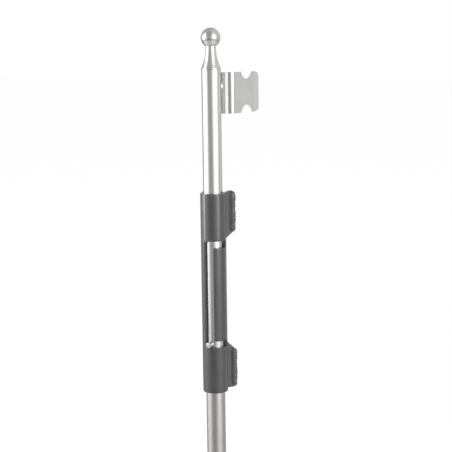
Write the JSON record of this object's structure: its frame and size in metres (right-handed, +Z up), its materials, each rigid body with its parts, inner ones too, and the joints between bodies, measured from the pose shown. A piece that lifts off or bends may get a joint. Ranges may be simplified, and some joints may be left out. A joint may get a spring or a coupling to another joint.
{
  "type": "drop bolt",
  "caption": "Upright drop bolt: a round rod with a ball knob that lifts and turns in a slotted, weld-on guide tube, with a spring clip behind its top end.",
  "frame": {"origin": "centre of the rod's lower end face, with the bolt down", "axes": "+Z up along the rod, +Y towards the flat face that the plates are welded to, -Y the seen front, +X to the right as seen from the front"},
  "size_m": [0.0451, 0.0723, 0.5],
  "materials": {
    "guide_paint": "dark grey gloss paint",
    "plate_paint": "dark grey gloss paint",
    "weld_paint": "dark grey gloss paint over a rippled bead",
    "clip_sheet": "bright rolled stainless sheet",
    "screw_zinc": "bright zinc plated",
    "rod_zinc": "bright zinc plated, finely drawn",
    "pin_steel": "bright zinc plated",
    "neck_zinc": "bright zinc plated, turned",
    "ball_zinc": "bright zinc plated, turned",
    "stud_steel": "plain steel"
  },
  "bodies": {
    "base": {"guide_tube": "guide_paint", "upper_left_plate": "plate_paint", "upper_right_plate": "plate_paint", "lower_left_plate": "plate_paint", "lower_right_plate": "plate_paint", "upper_left_weld": "weld_paint", "upper_right_weld": "weld_paint", "lower_left_weld": "weld_paint", "lower_right_weld": "weld_paint", "upper_seam_welds": "weld_paint", "lower_seam_welds": "weld_paint", "retaining_clip": "clip_sheet", "clip_screws": "screw_zinc"},
    "knob": {"knob_neck": "neck_zinc", "knob_ball": "ball_zinc", "knob_stud": "stud_steel"},
    "bolt": {"bolt_rod": "rod_zinc", "stop_pin": "pin_steel"}
  },
  "joints": [
    {"name": "bolt_lift", "type": "slide", "parent": "base", "child": "knob", "axis": [0, 0, 1], "range_m": [0, 0.106]},
    {"name": "bolt_turn", "type": "hinge", "parent": "knob", "child": "bolt", "pos_m": [0, 0, 0.458], "axis": [0, 0, 1], "range_deg": [0, 82]}
  ]
}
